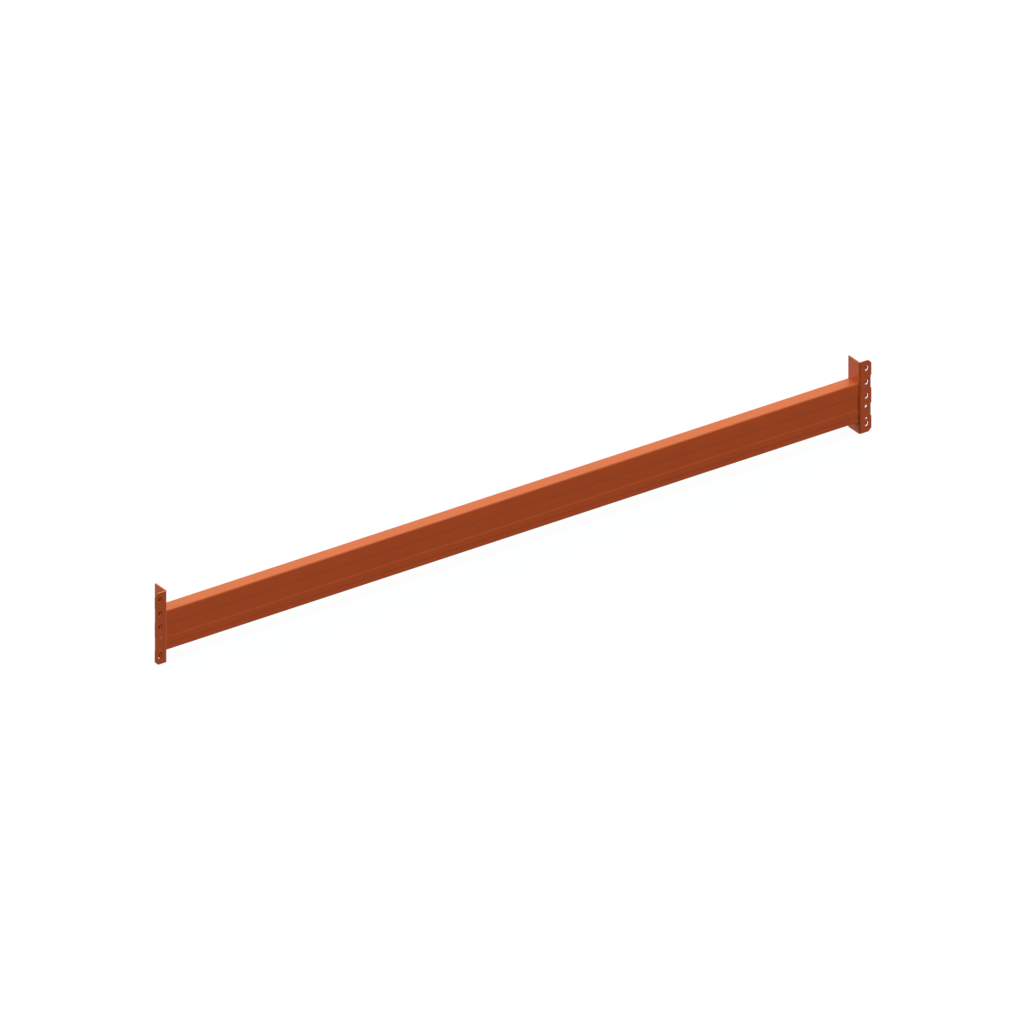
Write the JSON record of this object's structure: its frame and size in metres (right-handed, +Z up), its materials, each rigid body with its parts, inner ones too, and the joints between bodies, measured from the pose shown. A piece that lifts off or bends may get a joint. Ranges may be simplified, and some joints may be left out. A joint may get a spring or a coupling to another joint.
{
  "type": "pallet rack beam",
  "caption": "Painted steel load beam for pallet racking: a long box section of interlocking rolled channels, welded at each end to a folded connector with pressed hooks.",
  "frame": {"origin": "under the middle of the span, level with the lower edges of the connectors, at half of their depth", "axes": "+X along the beam to the right-hand connector seen from the front, -Y to the front, +Z up"},
  "size_m": [2.784, 0.063, 0.257],
  "materials": {
    "beam_paint": "semi-gloss orange powder coat on cold-rolled steel",
    "connector_paint": "semi-gloss orange powder coat on folded steel plate",
    "weld_paint": "semi-gloss orange powder coat over a fillet weld"
  },
  "bodies": {
    "root": {"front_channel": "beam_paint", "rear_channel": "beam_paint", "left_connector": "connector_paint", "right_connector": "connector_paint", "left_front_weld": "weld_paint", "left_rear_weld": "weld_paint", "left_bottom_weld": "weld_paint", "right_front_weld": "weld_paint", "right_rear_weld": "weld_paint", "right_bottom_weld": "weld_paint"}
  },
  "joints": []
}
